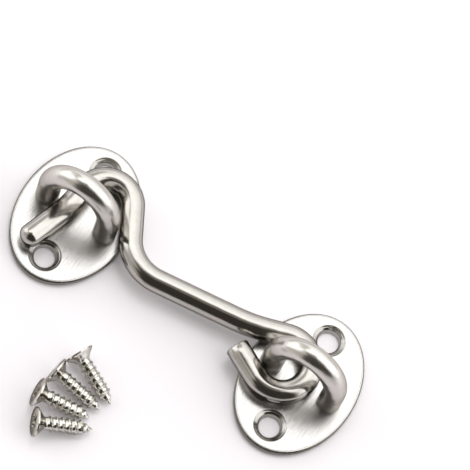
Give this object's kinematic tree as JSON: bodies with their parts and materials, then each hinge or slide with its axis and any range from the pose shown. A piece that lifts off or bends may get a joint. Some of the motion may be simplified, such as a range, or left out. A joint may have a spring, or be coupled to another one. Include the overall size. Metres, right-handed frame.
{
  "type": "hook and eye latch",
  "caption": "Cabin hook and eye latch bent from round stainless rod, each staple riveted to an oval countersunk plate, with loose countersunk wood screws.",
  "frame": {"origin": "centre of the hinge plate, on its back face", "axes": "+X along the latch from the eye plate to the hinge plate, +Y across the latch, to the side that the hook opens to, +Z out of the mounting surface"},
  "size_m": [0.0999, 0.0751, 0.0254],
  "materials": {
    "polished_stainless": "polished stainless steel rod",
    "brushed_stainless": "satin stainless steel sheet",
    "bright_screw_steel": "bright rolled screw steel"
  },
  "bodies": {
    "hinge_fitting": {"hinge_plate": "brushed_stainless", "hinge_staple": "polished_stainless", "screw_1": "bright_screw_steel", "screw_2": "bright_screw_steel", "screw_3": "bright_screw_steel", "screw_4": "bright_screw_steel"},
    "hook": {"hook": "polished_stainless"},
    "eye_fitting": {"eye_plate": "brushed_stainless", "eye_staple": "polished_stainless"}
  },
  "joints": [
    {"name": "hook_swing", "type": "hinge", "parent": "hinge_fitting", "child": "hook", "pos_m": [-0.0087, 0, 0.0053], "axis": [0, 0, -1], "range_deg": [0, 146]},
    {"name": "eye_slide", "type": "slide", "parent": "hook", "child": "eye_fitting", "axis": [-0.2756, -0.9613, 0], "range_m": [0, 0.0195]}
  ]
}
